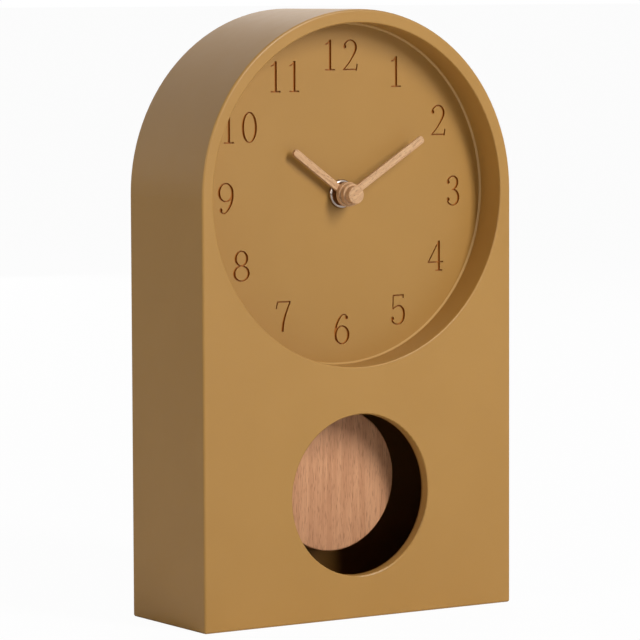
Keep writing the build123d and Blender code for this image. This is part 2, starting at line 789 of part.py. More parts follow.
with BuildPart() as hour_wheel:
    with BuildSketch(facing(hour_layer + wheel_thickness)):
        with Locations(axis_place):
            add(hour_gear)
    extrude(amount=wheel_thickness)
    with BuildSketch(facing(hour_layer)):
        with Locations(axis_place):
            Circle(pipe_radius)
    extrude(amount=hour_layer - hour_hub_back + hour_bush_length)
    with BuildSketch(facing(hour_layer + wheel_thickness)):
        with Locations(axis_place):
            Circle(minute_arbor_radius + running_gap)
    extrude(amount=case_depth, mode=Mode.SUBTRACT)
hour_wheel.part.label = "hour_wheel"
export_step(hour_wheel.part, "parts/hour_wheel.step")

with BuildPart() as intermediate_wheel:
    with BuildSketch(facing(motion_layer + wheel_thickness)):
        with Locations(intermediate_place):
            add(intermediate_gear)
    extrude(amount=wheel_thickness)
    with BuildSketch(facing(motion_layer)):
        with Locations(intermediate_place):
            add(pinion_gear)
    extrude(amount=motion_layer - hour_layer + pinion_overhang)
    with BuildSketch(facing(motion_layer + wheel_thickness)):
        with Locations(intermediate_place):
            Circle(post_pin_radius + running_gap)
    extrude(amount=case_depth, mode=Mode.SUBTRACT)
intermediate_wheel.part.label = "intermediate_wheel"
export_step(intermediate_wheel.part, "parts/intermediate_wheel.step")

# Setting arbor and knob: turn the intermediate wheel by hand from behind
knob_front = housing_back + knob_stand_off
knob_back = knob_front + knob_thickness

with BuildPart() as setting_arbor:
    with BuildSketch(facing(motion_layer + wheel_thickness + pinion_overhang)):
        with Locations(setting_place):
            add(setting_gear)
    extrude(amount=pinion_length)
    with BuildSketch(facing(motion_layer)):
        with Locations(setting_place):
            Circle(setting_pivot_radius)
    extrude(amount=motion_layer - housing_inside + setting_pivot_length - running_gap)
    with BuildSketch(facing(knob_back - housing_wall)):
        with Locations(setting_place):
            Circle(setting_arbor_radius)
    extrude(amount=knob_back - housing_wall - motion_layer)
setting_arbor.part.label = "setting_arbor"
export_step(setting_arbor.part, "parts/setting_arbor.step")

with BuildPart() as setting_knob:
    with BuildSketch(facing(knob_back)):
        with Locations(setting_place):
            Circle(knob_radius)
            with PolarLocations(knob_radius, knob_grooves):
                Circle(knob_groove_radius, mode=Mode.SUBTRACT)
    extrude(amount=knob_thickness)
    with BuildSketch(facing(knob_back - housing_wall)):
        with Locations(setting_place):
            Circle(setting_arbor_radius + fit_gap)
    extrude(amount=knob_thickness, mode=Mode.SUBTRACT)
setting_knob.part.label = "setting_knob"
export_step(setting_knob.part, "parts/setting_knob.step")

# Motor unit: a sealed step motor with its own fast wheels, against the rear half; its pinion turns the centre wheel
motor_right = motor_place[0] + train_distance / 2
motor_left = bay_gap - inside_half
motor_middle = ((motor_left + motor_right) / 2, axis_height - motor_below_axis + motor_height / 2)
motor_back = motor_front + motor_bearing

with BuildPart() as motor_unit:
    with BuildSketch(facing(housing_back_inside)):
        with Locations(motor_middle):
            RectangleRounded(motor_right - motor_left, motor_height, motor_round)
    extrude(amount=housing_back_inside - motor_front)
    with BuildSketch(facing(motor_back)):
        with Locations(motor_place):
            Circle(motor_shaft_radius + running_gap)
    extrude(amount=motor_bearing, mode=Mode.SUBTRACT)
motor_unit.part.label = "motor_unit"
export_step(motor_unit.part, "parts/motor_unit.step")

with BuildPart() as motor_pinion:
    with BuildSketch(facing(centre_layer + wheel_thickness + pinion_overhang)):
        with Locations(motor_place):
            add(motor_gear)
    extrude(amount=pinion_length)
    with BuildSketch(facing(motor_back - running_gap)):
        with Locations(motor_place):
            Circle(motor_shaft_radius)
    extrude(amount=motor_back - running_gap - centre_layer - wheel_thickness)
motor_pinion.part.label = "motor_pinion"
export_step(motor_pinion.part, "parts/motor_pinion.step")

# Circuit board on its posts, with the timekeeping crystal and the sealed chip on its front
board_front = board_back - board_thickness
with BuildPart() as circuit_board:
    with BuildSketch(facing(board_back)):
        with Locations(board_middle):
            RectangleRounded(board_width, board_height, board_round)
    extrude(amount=board_thickness)
circuit_board.part.label = "circuit_board"
export_step(circuit_board.part, "parts/circuit_board.step")

crystal_middle = (board_middle[0] + board_part_offset, board_middle[1])
with BuildPart() as quartz_crystal:
    with BuildSketch(Plane.XY.offset(crystal_middle[1] - crystal_length / 2)):
        with Locations((crystal_middle[0], board_front - crystal_radius - case_depth / 2)):
            Circle(crystal_radius)
    extrude(amount=crystal_length)
    fillet(quartz_crystal.faces().sort_by(Axis.Z)[-1].edges(), crystal_round)
quartz_crystal.part.label = "quartz_crystal"
export_step(quartz_crystal.part, "parts/quartz_crystal.step")

chip_middle = (board_middle[0] - board_part_offset, board_middle[1])
with BuildPart() as chip_cap:
    with BuildSketch(facing(board_front)):
        with Locations(chip_middle):
            Circle(chip_radius)
    extrude(amount=chip_height)
    fillet(chip_cap.faces().sort_by(Axis.Y)[0].edges(), chip_round)
chip_cap.part.label = "chip_cap"
export_step(chip_cap.part, "parts/chip_cap.step")

# Battery and its contacts, across the bottom of the movement, open to the back
battery_height = housing_bottom + housing_wall + bay_gap + battery_radius
battery_depth = housing_inside + bay_gap + battery_radius
nub_end = inside_half - contact_thickness - dimple_height
battery_left = nub_end - battery_length
cell_end = nub_end - nub_length


def across(x):
    """A plane square to the battery, seen from the right: local x is depth, local y is height."""
    return Plane(origin=(x, -case_depth / 2, 0), x_dir=(0, 1, 0), z_dir=(1, 0, 0))


with BuildPart() as battery:
    with BuildSketch(across(battery_left)):
        with Locations((battery_depth, battery_height)):
            Circle(battery_radius)
    extrude(amount=cell_end - battery_left)
    fillet(battery.faces().filter_by(Axis.X).edges(), battery_round)
    with BuildSketch(across(cell_end)):
        with Locations((battery_depth, battery_height)):
            Circle(nub_radius)
    extrude(amount=nub_length)
battery.part.label = "battery"
export_step(battery.part, "parts/battery.step")

with BuildPart() as positive_contact:
    with BuildSketch(across(inside_half - contact_thickness)):
        with Locations((battery_depth, battery_height)):
            Rectangle(contact_width, contact_width)
    extrude(amount=contact_thickness)
    with BuildSketch(across(nub_end)):
        with Locations((battery_depth, battery_height)):
            Circle(dimple_radius)
    extrude(amount=dimple_height)
positive_contact.part.label = "positive_contact"
export_step(positive_contact.part, "parts/positive_contact.step")

with BuildPart() as negative_contact:
    with BuildSketch(across(-inside_half)):
        with Locations((battery_depth, battery_height)):
            Rectangle(contact_width, contact_width)
    extrude(amount=contact_thickness)
    with BuildSketch(across(contact_thickness - inside_half)):
        with Locations((battery_depth, battery_height)):
            Circle(spring_base_radius)
    with BuildSketch(across(battery_left)):
        with Locations((battery_depth, battery_height)):
            Circle(spring_tip_radius)
    loft()
negative_contact.part.label = "negative_contact"
export_step(negative_contact.part, "parts/negative_contact.step")

# Hands: a round-edged bar from the axis to its tip, and a stepped hub bored for its brass bush
def hand_bar(length, width, clock_angle, front):
    """A hand's bar, lying clockwise from twelve by its angle, before the hub is put on."""
    with BuildPart() as blade:
        with BuildSketch(facing(front + hand_thickness)) as blade_outline:
            with Locations(axis_place):
                Rectangle(length, width, rotation=90 - clock_angle, align=(Align.MIN, Align.CENTER))
            tip = polar_point(axis_place, length, 90 - clock_angle)
            fillet(blade_outline.vertices().sort_by_distance((tip[0], tip[1], 0))[:2], tip_round)
        extrude(amount=hand_thickness)
        fillet(blade.faces().sort_by(Axis.Y)[0].edges(), hand_round)
    return blade.part


def hand_hub(back, boss_radius, boss_length, cap_radius, cap_length):
    """A hand's hub, before its bore: a boss as far back as the bar and a cap in front of it."""
    with BuildPart() as hub:
        for step_back, radius, length in ((back, boss_radius, boss_length), (back - boss_length, cap_radius, cap_length)):
            with BuildSketch(facing(step_back)):
                with Locations(axis_place):
                    Circle(radius)
            extrude(amount=length)
            fillet(hub.faces().sort_by(Axis.Y)[0].edges(), hand_round)
    return hub.part


minute_bar = hand_bar(minute_length, minute_width, minute_hand_angle, minute_hub_back - hand_thickness)
minute_hub = hand_hub(minute_hub_back, minute_boss_radius, minute_boss_length, minute_cap_radius, minute_cap_length)
hour_bar = hand_bar(hour_length, hour_width, hour_hand_angle, hour_hub_back - hand_thickness)
hour_hub = hand_hub(hour_hub_back, hour_boss_radius, hand_thickness, hour_cap_radius, hour_cap_length)
minute_bush_front = minute_hub_depth + bush_cover
minute_bush_radius = minute_arbor_radius + bush_wall
hour_bush_radius = pipe_radius + bush_wall

with BuildPart() as minute_hand:
    add(minute_bar)
    add(minute_hub)
    with BuildSketch(facing(minute_hub_back)):
        with Locations(axis_place):
            Circle(minute_bush_radius + fit_gap)
    extrude(amount=minute_hub_back - minute_bush_front, mode=Mode.SUBTRACT)
minute_hand.part.label = "minute_hand"
export_step(minute_hand.part, "parts/minute_hand.step")

with BuildPart() as minute_bush:
    with BuildSketch(facing(minute_hub_back)):
        with Locations(axis_place):
            Circle(minute_bush_radius)
            Circle(minute_arbor_radius + fit_gap, mode=Mode.SUBTRACT)
    extrude(amount=minute_hub_back - minute_bush_front)
minute_bush.part.label = "minute_bush"
export_step(minute_bush.part, "parts/minute_bush.step")

with BuildPart() as hour_hand:
    add(hour_bar)
    add(hour_hub)
    with BuildSketch(facing(hour_hub_back)):
        with Locations(axis_place):
            Circle(hour_bush_radius + fit_gap)
    extrude(amount=hour_bush_length, mode=Mode.SUBTRACT)
    with BuildSketch(facing(hour_hub_back)):
        with Locations(axis_place):
            Circle(minute_arbor_radius + clearance_gap)
    extrude(amount=hour_hub_length, mode=Mode.SUBTRACT)
hour_hand.part.label = "hour_hand"
export_step(hour_hand.part, "parts/hour_hand.step")

with BuildPart() as hour_bush:
    with BuildSketch(facing(hour_hub_back)):
        with Locations(axis_place):
            Circle(hour_bush_radius)
            Circle(pipe_radius + fit_gap, mode=Mode.SUBTRACT)
    extrude(amount=hour_bush_length)
hour_bush.part.label = "hour_bush"
export_step(hour_bush.part, "parts/hour_bush.step")

# Pendulum drive: a coil on the housing wall pushes the magnet on the hanger, which swings on its pin
coil_place = (0, magnet_height)
with BuildPart() as coil_bobbin:
    with BuildSketch(facing(coil_back)):
        with Locations(coil_place):
            Circle(coil_core_radius)
    extrude(amount=coil_back - housing_inside)
    with BuildSketch(facing(housing_inside + flange_thickness), facing(coil_back)):
        with Locations(coil_place):
            Circle(coil_flange_radius)
    extrude(amount=flange_thickness)
coil_bobbin.part.label = "coil_bobbin"
export_step(coil_bobbin.part, "parts/coil_bobbin.step")

with BuildPart() as drive_coil:
    with BuildSketch(facing(coil_back - flange_thickness)):
        with Locations(coil_place):
            Circle(coil_wire_radius)
            Circle(coil_core_radius + fit_gap, mode=Mode.SUBTRACT)
    extrude(amount=coil_back - housing_inside - 2 * flange_thickness)
drive_coil.part.label = "drive_coil"
export_step(drive_coil.part, "parts/drive_coil.step")

with BuildPart() as pivot_pin:
    with BuildSketch(facing(apron_back + cover_thickness)):
        with Locations(pivot_place):
            Circle(pivot_radius)
    extrude(amount=apron_back + cover_thickness - housing_front)
pivot_pin.part.label = "pivot_pin"
export_step(pivot_pin.part, "parts/pivot_pin.step")

with BuildPart() as pendulum_hanger:
    with BuildSketch(facing(hanger_back)):
        with Locations(pivot_place):
            Circle(hanger_hub_radius)
    extrude(amount=hanger_hub_length)
    with BuildSketch(facing(bob_middle + hanger_arm_thickness / 2)):
        with Locations((0, hanger_bottom + hanger_socket_length / 2)):
            Rectangle(hanger_arm_width, pivot_height - hanger_bottom - hanger_socket_length / 2,
                      align=(Align.CENTER, Align.MIN))
        with Locations(coil_place):
            Circle(magnet_radius + magnet_holder_wall)
    extrude(amount=hanger_arm_thickness)
    with BuildSketch(Plane.XY.offset(hanger_bottom)):
        with Locations((0, bob_middle - case_depth / 2)):
            Circle(hanger_socket_radius)
    extrude(amount=hanger_socket_length)
    with BuildSketch(Plane.XY.offset(hanger_bottom)):
        with Locations((0, bob_middle - case_depth / 2)):
            Circle(rod_radius + fit_gap)
    extrude(amount=rod_in_hanger, mode=Mode.SUBTRACT)
    with BuildSketch(facing(magnet_front + magnet_thickness)):
        with Locations(coil_place):
            Circle(magnet_radius + fit_gap)
    extrude(amount=magnet_thickness, mode=Mode.SUBTRACT)
    with BuildSketch(facing(hanger_back)):
        with Locations(pivot_place):
            Circle(pivot_radius + running_gap)
    extrude(amount=hanger_hub_length, mode=Mode.SUBTRACT)
pendulum_hanger.part.label = "pendulum_hanger"
export_step(pendulum_hanger.part, "parts/pendulum_hanger.step")

with BuildPart() as hanger_magnet:
    with BuildSketch(facing(magnet_front + magnet_thickness)):
        with Locations(coil_place):
            Circle(magnet_radius)
    extrude(amount=magnet_thickness)
hanger_magnet.part.label = "hanger_magnet"
export_step(hanger_magnet.part, "parts/hanger_magnet.step")

rod_bottom = bob_height + bob_radius - rod_in_bob
with BuildPart() as pendulum_rod:
    with BuildSketch(Plane.XY.offset(rod_bottom)):
        with Locations((0, bob_middle - case_depth / 2)):
            Circle(rod_radius)
    extrude(amount=hanger_bottom + rod_in_hanger - rod_bottom)
pendulum_rod.part.label = "pendulum_rod"
export_step(pendulum_rod.part, "parts/pendulum_rod.step")

with BuildPart() as pendulum_bob:
    with BuildSketch(facing(bob_back)):
        with Locations((0, bob_height)):
            Circle(bob_radius)
    extrude(amount=bob_thickness)
    fillet(pendulum_bob.edges().filter_by(GeomType.CIRCLE), bob_round)
    with BuildSketch(Plane.XY.offset(rod_bottom)):
        with Locations((0, bob_middle - case_depth / 2)):
            Circle(rod_radius + fit_gap)
    extrude(amount=rod_in_bob, mode=Mode.SUBTRACT)
pendulum_bob.part.label = "pendulum_bob"
export_step(pendulum_bob.part, "parts/pendulum_bob.step")

# Cover behind the pendulum bay, which holds the pin's rear end
with BuildPart() as pendulum_cover:
    with BuildSketch(facing(apron_back + cover_thickness)):
        with Locations((0, apron_bottom)):
            Rectangle(apron_width, apron_height - clearance_gap, align=(Align.CENTER, Align.MIN))
    extrude(amount=cover_thickness)
    with BuildSketch(facing(apron_back)):
        with Locations(pivot_place):
            Circle(pivot_boss_radius)
    extrude(amount=apron_back - hanger_back - pivot_boss_gap)
    with BuildSketch(facing(apron_back + cover_thickness)):
        with Locations(pivot_place):
            Circle(pivot_radius + fit_gap)
        with Locations(*cover_boss_places):
            Circle(small_screw_radius + clearance_gap)
    extrude(amount=apron_back + cover_thickness - hanger_back, mode=Mode.SUBTRACT)
pendulum_cover.part.label = "pendulum_cover"
export_step(pendulum_cover.part, "parts/pendulum_cover.step")

cover_screws = pan_head_screws(
    cover_boss_places,
    apron_back + cover_thickness,
    small_screw_radius,
    small_screw_head_radius,
    small_screw_head,
    small_screw_head_round,
    small_screw_length,
)
cover_screws.label = "cover_screws"
export_step(cover_screws, "parts/cover_screws.step")
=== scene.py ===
# %% [markdown]
# # A desk pendulum clock
# The clock stands flat on the desk in an arched case. Its dial lies deep in a round recess, two
# plain wooden hands turn in front of it, and a wooden disc swings behind a round window below.
# The solids come packed from the construction model, in metres, with the middle of the base at
# the origin and the dial facing -Y. They keep their shapes here. This lesson gives them finishes,
# adds the small pieces that are easier to make in Blender, and lights them.

# %% Load the clock
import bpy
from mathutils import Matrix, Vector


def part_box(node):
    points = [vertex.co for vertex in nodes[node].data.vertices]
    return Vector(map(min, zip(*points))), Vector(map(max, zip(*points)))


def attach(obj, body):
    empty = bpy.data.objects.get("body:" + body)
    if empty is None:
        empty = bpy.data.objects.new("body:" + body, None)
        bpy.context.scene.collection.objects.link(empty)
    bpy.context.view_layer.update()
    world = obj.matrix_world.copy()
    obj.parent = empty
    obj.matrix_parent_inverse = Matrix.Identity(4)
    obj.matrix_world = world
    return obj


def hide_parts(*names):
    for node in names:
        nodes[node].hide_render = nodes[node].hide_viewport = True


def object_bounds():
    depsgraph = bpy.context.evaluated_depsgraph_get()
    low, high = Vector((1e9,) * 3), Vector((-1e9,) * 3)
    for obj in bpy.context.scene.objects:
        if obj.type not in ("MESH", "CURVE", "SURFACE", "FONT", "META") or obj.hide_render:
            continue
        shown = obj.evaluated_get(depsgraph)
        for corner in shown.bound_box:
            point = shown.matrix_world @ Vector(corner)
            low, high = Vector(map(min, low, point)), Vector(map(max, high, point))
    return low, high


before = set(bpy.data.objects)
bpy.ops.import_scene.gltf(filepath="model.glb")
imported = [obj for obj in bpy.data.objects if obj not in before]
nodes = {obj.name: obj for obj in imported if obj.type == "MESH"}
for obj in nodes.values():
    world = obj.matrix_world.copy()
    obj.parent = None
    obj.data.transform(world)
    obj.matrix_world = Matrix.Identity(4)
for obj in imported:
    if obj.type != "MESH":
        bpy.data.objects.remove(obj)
cad_box = [list(corner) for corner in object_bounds()]

from math import cos, pi, radians, sin

import bmesh
import bpy
from mathutils import Matrix, Vector

mm = 0.001
cad_size = [round((high - low) / mm, 1) for low, high in zip(*cad_box)]
print(len(nodes), "solids in a box of", cad_size, "mm")

# %% [markdown]
# ## The camera
# The picture was taken from the left, a little above the middle of the clock, with a long lens:
# the upright edges stay almost parallel. Placing the camera by its three angles, instead of
# aiming it at an object, keeps the small tilt that the frame has. The camera matrix is written
# straight from its three directions.

# %% Camera
frame_pixels, focal_pixels = 640, 3937.1
sensor_width = 36.0
camera_place = Vector((-1.0676, -1.63785, 0.30979))
yaw, pitch, roll = radians(33.0615), radians(4.8073), radians(-0.2222)

ahead = Vector((sin(yaw) * cos(pitch), cos(yaw) * cos(pitch), -sin(pitch)))
level = Vector((cos(yaw), -sin(yaw), 0.0))
upright = level.cross(ahead)
image_right = cos(roll) * level + sin(roll) * upright
image_up = cos(roll) * upright - sin(roll) * level
camera_turn = Matrix((image_right, image_up, -ahead)).transposed()

camera = bpy.data.objects.new("camera", bpy.data.cameras.new("camera"))
camera.data.sensor_fit = "HORIZONTAL"
camera.data.sensor_width = sensor_width
camera.data.lens = focal_pixels / frame_pixels * sensor_width
camera.matrix_world = Matrix.Translation(camera_place) @ camera_turn.to_4x4()
bpy.context.scene.collection.objects.link(camera)
bpy.context.scene.camera = camera
bpy.context.scene.view_settings.view_transform = "Standard"
print("lens", round(camera.data.lens, 1), "mm, at", [round(v, 3) for v in camera_place])

# %% [markdown]
# ## Arithmetic for finishes
# A finish is a tree of nodes. Joining Math nodes by hand takes many lines, so one small class
# wraps a socket and gives it Python's operators: `1 - mask` adds a Math node by itself. Every
# other node comes from its one method, which sets the node's own settings first and then its
# sockets.

# %% A socket that can be added and multiplied
class Value:
    """A socket in a tree. Arithmetic on it adds Math nodes, and node() adds any other node."""

    def __init__(self, tree, socket):
        self.tree = tree
        self.socket = socket

    def node(self, kind, settings=None, sockets=None, output=0):
        """Adds a node: its settings first, then numbers, colours or values for its sockets."""
        added = self.tree.nodes.new(kind)
        for name, setting in (settings or {}).items():
            setattr(added, name, setting)
        for name, value in (sockets or {}).items():
            if isinstance(value, Value):
                self.tree.links.new(value.socket, added.inputs[name])
            else:
                added.inputs[name].default_value = value
        return Value(self.tree, added.outputs[output])

    def math(self, operation, first, second=0.0):
        """Adds a Math node for one or two numbers or values."""
        return self.node("ShaderNodeMath", {"operation": operation}, {0: first, 1: second})

    def __add__(self, other):
        return self.math("ADD", self, other)

    def __radd__(self, other):
        return self.math("ADD", other, self)

    def __sub__(self, other):
        return self.math("SUBTRACT", self, other)

    def __rsub__(self, other):
        return self.math("SUBTRACT", other, self)

    def __mul__(self, other):
        return self.math("MULTIPLY", self, other)

    def __rmul__(self, other):
        return self.math("MULTIPLY", other, self)

    def __pow__(self, other):
        return self.math("POWER", self, other)


print("values take + - * and **, and each adds one Math node")

# %% [markdown]
# Each finish starts from a new material and ends with a few values linked to its shader. What is
# the same all over the surface is set on the shader's own socket at once. Colours are written as
# they look on screen, from 0 to 255, and turned into the linear values that shaders use.

# %% Starting and ending a finish
def linear(*screen):
    """A screen colour in red, green and blue, made linear for a shader by the sRGB curve."""
    parts = [level / 255 for level in screen]
    return tuple(c / 12.92 if c <= 0.04045 else ((c + 0.055) / 1.055) ** 2.4 for c in parts)


def start_finish(name, **constants):
    """A new material, its shader with constants set, and the surface's own coordinates."""
    material = bpy.data.materials.new(name)
    material.use_nodes = True
    tree = material.node_tree
    shader = tree.nodes["Principled BSDF"]
    for socket, value in constants.items():
        shader.inputs[socket.replace("_", " ")].default_value = value
    place = Value(tree, tree.nodes.new("ShaderNodeTexCoord").outputs["Object"])
    return material, shader, place


def feed(shader, **values):
    """Links values to the shader's sockets."""
    for socket, value in values.items():
        value.tree.links.new(value.socket, shader.inputs[socket.replace("_", " ")])


def dress(material, *names):
    """Gives solids of the clock a finish."""
    for name in names:
        nodes[name].material_slots[0].material = material
    print(material.name, "on", ", ".join(names))


print("a screen grey of 128 is", round(linear(128, 128, 128)[0], 3), "to a shader")

# %% [markdown]
# A few patterns come back in every finish: noise at a size given in millimetres, a soft step from
# one level to another, a blend of two colours, and a bump. Each gets a short name, so that a
# finish reads like a recipe. Noise wanders about 0.5, so a step over a span round that level
# parts a surface into patches. All start from Object coordinates, which need no UV map.

# %% Patterns
origin = unturned = (0.0, 0.0, 0.0)


def axis_of(place, axis):
    """One coordinate, in millimetres."""
    parts = {"Vector": place}
    return place.node("ShaderNodeSeparateXYZ", {}, parts, output="XYZ".index(axis)) * (1 / mm)


def stretched(place, size, turn=unturned, centre=origin):
    """Coordinates in units of size, in millimetres along each axis, after a turn about a centre."""
    offset = place.node("ShaderNodeVectorMath", {"operation": "SUBTRACT"}, {0: place, 1: centre})
    rotation = {"Vector": offset, "Rotation": turn}
    turned = place.node("ShaderNodeVectorRotate", {"rotation_type": "EULER_XYZ"}, rotation)
    scale = tuple(1 / (part * mm) for part in size)
    return place.node("ShaderNodeVectorMath", {"operation": "MULTIPLY"}, {0: turned, 1: scale})


def noise(place, size=None, detail=2.0, roughness=0.5, distortion=0.0):
    """Noise with lumps of a size in millimetres, or else of one unit of stretched coordinates."""
    sockets = {
        "Vector": place,
        "Scale": 1.0 if size is None else 1 / (size * mm),
        "Detail": detail,
        "Roughness": roughness,
        "Distortion": distortion,
    }
    return place.node("ShaderNodeTexNoise", {}, sockets)


def step(value, low, high):
    """0 below low and 1 above high, with a smooth change between."""
    sockets = {"Value": value, "From Min": low, "From Max": high}
    return value.node("ShaderNodeMapRange", {"interpolation_type": "SMOOTHSTEP"}, sockets)


def blend(factor, first, second):
    """The first colour where the factor is 0 and the second where it is 1."""
    sockets = {"Factor": factor}
    for name, colour in ((6, first), (7, second)):  # the colour inputs of a Mix node, A and B
        sockets[name] = (*colour, 1.0) if isinstance(colour, tuple) else colour
    return factor.node("ShaderNodeMix", {"data_type": "RGBA"}, sockets, output=2)


def bump(height, depth):
    """A bent normal from a height of 0 to 1 that stands for this depth in millimetres."""
    return height.node("ShaderNodeBump", {}, {"Height": height, "Distance": depth * mm})


print("patterns are measured in units of", mm, "m")

# %% [markdown]
# ## Case and dial paint
# Case and dial have an ochre satin paint; the dial's copy is a shade darker, as painted shade.
# Two places on the case differ. Inside the lower case, which is barely seen, the paint is darker
# up to the front of the rear panel, as painted shade. On the narrow slope where the recess meets
# the dial, a paler paint is a painted highlight for the bright line that the real edge shows.
# Painting such masks by hand would need UV maps, so three coordinates mark the places instead:
# soft steps along them close in the lower case, and the distance from the dial's axis gives the
# ring of the slope.

# %% Where painted shade and highlight go
# millimetres from the middle of the base
axis_height = 209.0
dial_face = -16.75
wall_back, panel_middle = -29.5, 30.8
bay_half_width, bay_top = 88.0, 122.0
depth_fade, side_fade, top_fade = 0.2, 0.5, 1.0
foot_height, foot_radius = 0.8, 84.4
foot_margin, foot_fade = 0.1, 0.05


def inside_shade_mask(place):
    """1 on the lower case's walls seen through the window, for painted shade, and 0 outside."""
    across, depth, height = (axis_of(place, axis) for axis in "XYZ")
    behind_wall = step(depth, wall_back - depth_fade, wall_back)
    before_panel = step(panel_middle - depth, 0.0, depth_fade)
    between_sides = step(bay_half_width - across.math("ABSOLUTE", across), 0.0, side_fade)
    return behind_wall * before_panel * between_sides * step(bay_top - height, 0.0, top_fade)


def foot_highlight_mask(place):
    """1 on the narrow slope where recess meets dial, for a painted highlight, and 0 elsewhere."""
    across, depth, height = (axis_of(place, axis) for axis in "XYZ")
    rise = height - axis_height
    radius = (across * across + rise * rise) ** 0.5
    foot_front = dial_face - foot_height
    behind_front = step(depth, foot_front - foot_fade, foot_front + foot_fade)
    before_dial = step(dial_face + foot_margin - depth, 0.0, foot_fade)
    return behind_front * before_dial * step(foot_radius + foot_margin - radius, 0.0, foot_fade)


print("darker below", bay_top, "mm, paler within", foot_radius, "mm of the dial's axis")

# %% [markdown]
# Seen close, sprayed paint is never quite flat: it has an orange peel of lumps about a millimetre
# wide and very low, its gloss wanders a little, and its colour drifts by a percent or two. Bump
# and roughness noise give that without any geometry. The dial's numbers are cut into the plate,
# and a brown painted shade darkens them for the shade that falls in the cuts. The depth below the
# dial face, read from the Y coordinate, says where the cut begins, so the painted shade follows the
# carving exactly.

# %% Paint
ochre, ochre_shade = linear(172, 128, 62), linear(170, 126, 60)
# the dial's colours are a darker copy of the case's ochre: painted shade
dial_shaded_ochre, dial_shaded_drift = linear(167, 124, 59), linear(165, 122, 57)
# painted shade for the inside of the lower case, and a painted highlight for the recess foot
inside_painted_shade, foot_painted_highlight = linear(135, 94, 40), linear(190, 149, 88)
# painted shade for the cut numbers, from the start to the full depth of the cut
groove_painted_shade, groove_start, groove_full = linear(162, 94, 8), 0.05, 0.6
drift_size, drift_span = 45.0, (0.35, 0.65)
gloss_size, gloss_range = 9.0, 0.10
peel_size, peel_height = 1.1, 0.012


def satin_paint(name, paint, shade, index, gloss, cut_face=None):
    """Paint with painted shade in its grooves, or else the case's painted shade and highlight."""
    material, shader, place = start_finish(name, IOR=index)
    drift = noise(place, drift_size, detail=3.0)
    colour = blend(step(drift, *drift_span), paint, shade)
    if cut_face is None:
        # painted shade inside the lower case
        colour = blend(inside_shade_mask(place), colour, inside_painted_shade)
        # painted highlight on the recess foot
        colour = blend(foot_highlight_mask(place), colour, foot_painted_highlight)
    else:
        # painted shade in the cut numbers
        groove = step(axis_of(place, "Y") - cut_face, groove_start, groove_full)
        colour = blend(groove, colour, groove_painted_shade)
    feed(
        shader,
        Base_Color=colour,
        Roughness=gloss + gloss_range * noise(place, gloss_size, detail=4.0),
        Normal=bump(noise(place, peel_size), peel_height),
    )
    return material


case_paint = satin_paint("case_satin_paint", ochre, ochre_shade, index=1.46, gloss=0.34)
# the dial takes the darker copy of the ochre, which is painted shade
dial_paint = satin_paint("dial_satin_paint", dial_shaded_ochre, dial_shaded_drift, index=1.42, gloss=0.40,
                         cut_face=dial_face)
dress(case_paint, "case_shell", "rear_panel")
dress(dial_paint, "dial_plate")

# %% [markdown]
# ## Wood
# Hands and bob are solid wood with a straight grain. Wood is built from long things: pale and
# dark growth bands, finer fibres, and short open pores that sit along the fibres. Stretching
# noise along the grain makes all three. The grain of a hand runs along the hand, so its
# coordinates are turned by the hand's angle first; the bob's grain stands upright. The pores are
# also pressed in a little, and dull the gloss.

# %% Wood finish
band_stretch, fibre_size = 22, (9.0, 0.28, 0.28)
band_span, fibre_span, pore_span = (0.32, 0.68), (0.46, 0.74), (0.56, 0.68)
fibre_tint, pore_tint = 0.5, 0.45
fibre_relief, pore_relief, wood_relief = 0.4, 0.6, 0.08
wood_gloss, pore_dulling = 0.52, 0.2


def wood(name, colours, grain, pore_size, turn, centre=origin):
    """Wood whose grain runs along X after the turn. grain is the width of a growth band."""
    pale, middle_tone, dark, pore = colours
    material, shader, place = start_finish(name, IOR=1.45)
    band_place = stretched(place, (grain * band_stretch, grain, grain), turn, centre)
    bands = noise(band_place, distortion=0.4)
    fibres = noise(stretched(place, fibre_size, turn, centre), detail=3.0, roughness=0.6)
    pores = noise(stretched(place, pore_size, turn, centre), detail=1.0)
    pores = step(pores, *pore_span)
    colour = blend(step(bands, *band_span), pale, middle_tone)
    colour = blend(step(fibres, *fibre_span) * fibre_tint, colour, dark)
    colour = blend(pores * pore_tint, colour, pore)
    height = fibres * fibre_relief + (1 - pores) * pore_relief
    roughness = wood_gloss + pore_dulling * pores
    feed(shader, Base_Color=colour, Roughness=roughness, Normal=bump(height, wood_relief))
    return material


print("fibres", fibre_size[0], "mm long and", fibre_size[1], "mm wide")

# %% [markdown]
# The hands are cut from paler wood than the bob, whose pores are longer. Four colours describe
# each wood: pale and middle for the bands, dark for the fibres, and the darkest for the pores.

# %% Hands and bob
hand_colours = (linear(211, 170, 126), linear(195, 150, 107),
                linear(170, 124, 86), linear(116, 74, 48))
bob_colours = (linear(213, 157, 114), linear(196, 140, 99),
               linear(168, 113, 78), linear(134, 86, 58))
hand_grain, hand_pores = 1.6, (2.2, 0.42, 0.42)
bob_grain, bob_pores = 3.4, (5.0, 0.42, 0.42)
hand_axis = (0.0, 0.0, axis_height * mm)
quarter = radians(90)

for hand, angle in (("minute_hand", radians(58.3)), ("hour_hand", radians(305.958))):
    along_hand = (0.0, quarter - angle, 0.0)
    dress(wood(hand + "_wood", hand_colours, hand_grain, hand_pores, along_hand, hand_axis), hand)
upright_grain = (0.0, quarter, 0.0)
dress(wood("bob_wood_upright", bob_colours, bob_grain, bob_pores, upright_grain), "pendulum_bob")

# %% [markdown]
# ## Metals
# The ring nut and its washer are plated and polished: only faint polishing haze breaks their
# reflections. The arbor, bushes and bushing are turned brass, with rings left by the lathe round
# the hands' axis. Screws, rod and pin are drawn or plated steel, duller and with long scratches,
# and the hanger's small magnet has a plating without a direction. They differ only in colour,
# gloss and the shape of the scratches, so one function makes them all, and noise stretched along
# one or two axes draws the rings and scratches.

# %% Metal finishes
cloud_size, cloud_span, line_haze = 3.0, (0.3, 0.7), 0.5


